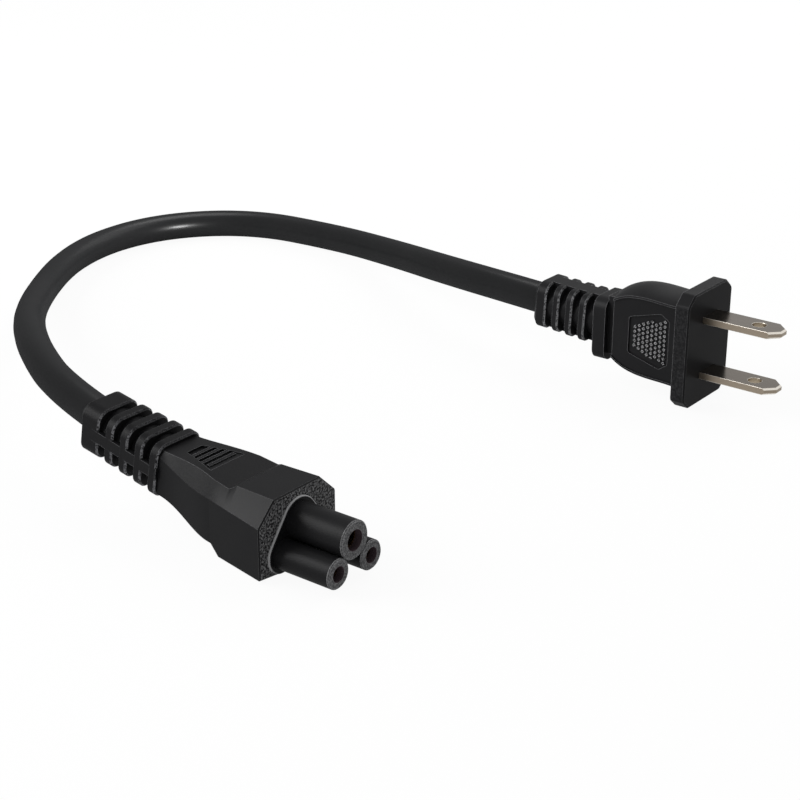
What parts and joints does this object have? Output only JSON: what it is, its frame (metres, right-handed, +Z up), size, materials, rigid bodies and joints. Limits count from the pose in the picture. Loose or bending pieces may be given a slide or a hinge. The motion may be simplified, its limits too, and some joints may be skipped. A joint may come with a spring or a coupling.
{
  "type": "cloverleaf power cord",
  "caption": "Short black power cord with a moulded cloverleaf appliance connector and a moulded flat-blade mains plug, each with a slotted strain relief on a round flexible cord.",
  "frame": {"origin": "bottom centre of the box round the connector and the plug, on the surface that the cord lies on", "axes": "+X out of both mating faces, +Y from the connector to the plug, +Z up"},
  "size_m": [0.2023, 0.1611, 0.026],
  "materials": {
    "moulding": "satin moulded PVC",
    "carrier": "satin moulded insert",
    "contact": "plain brass",
    "cord": "satin extruded PVC",
    "bridge": "plain inner moulding",
    "blade": "nickel plated",
    "line_core": "black core insulation",
    "neutral_core": "white core insulation",
    "strands": "bare copper"
  },
  "bodies": {
    "root": {"connector_overmould": "moulding", "carrier_plate": "carrier", "line_barrel": "carrier", "neutral_barrel": "carrier", "earth_barrel": "carrier", "line_contact": "contact", "neutral_contact": "contact", "earth_contact": "contact", "cord_jacket": "cord", "plug_overmould": "moulding", "blade_bridge": "bridge", "line_blade": "blade", "neutral_blade": "blade", "connector_line_core": "line_core", "connector_neutral_core": "neutral_core", "connector_line_strands": "strands", "connector_neutral_strands": "strands", "plug_line_core": "line_core", "plug_neutral_core": "neutral_core", "plug_line_strands": "strands", "plug_neutral_strands": "strands"}
  },
  "joints": []
}
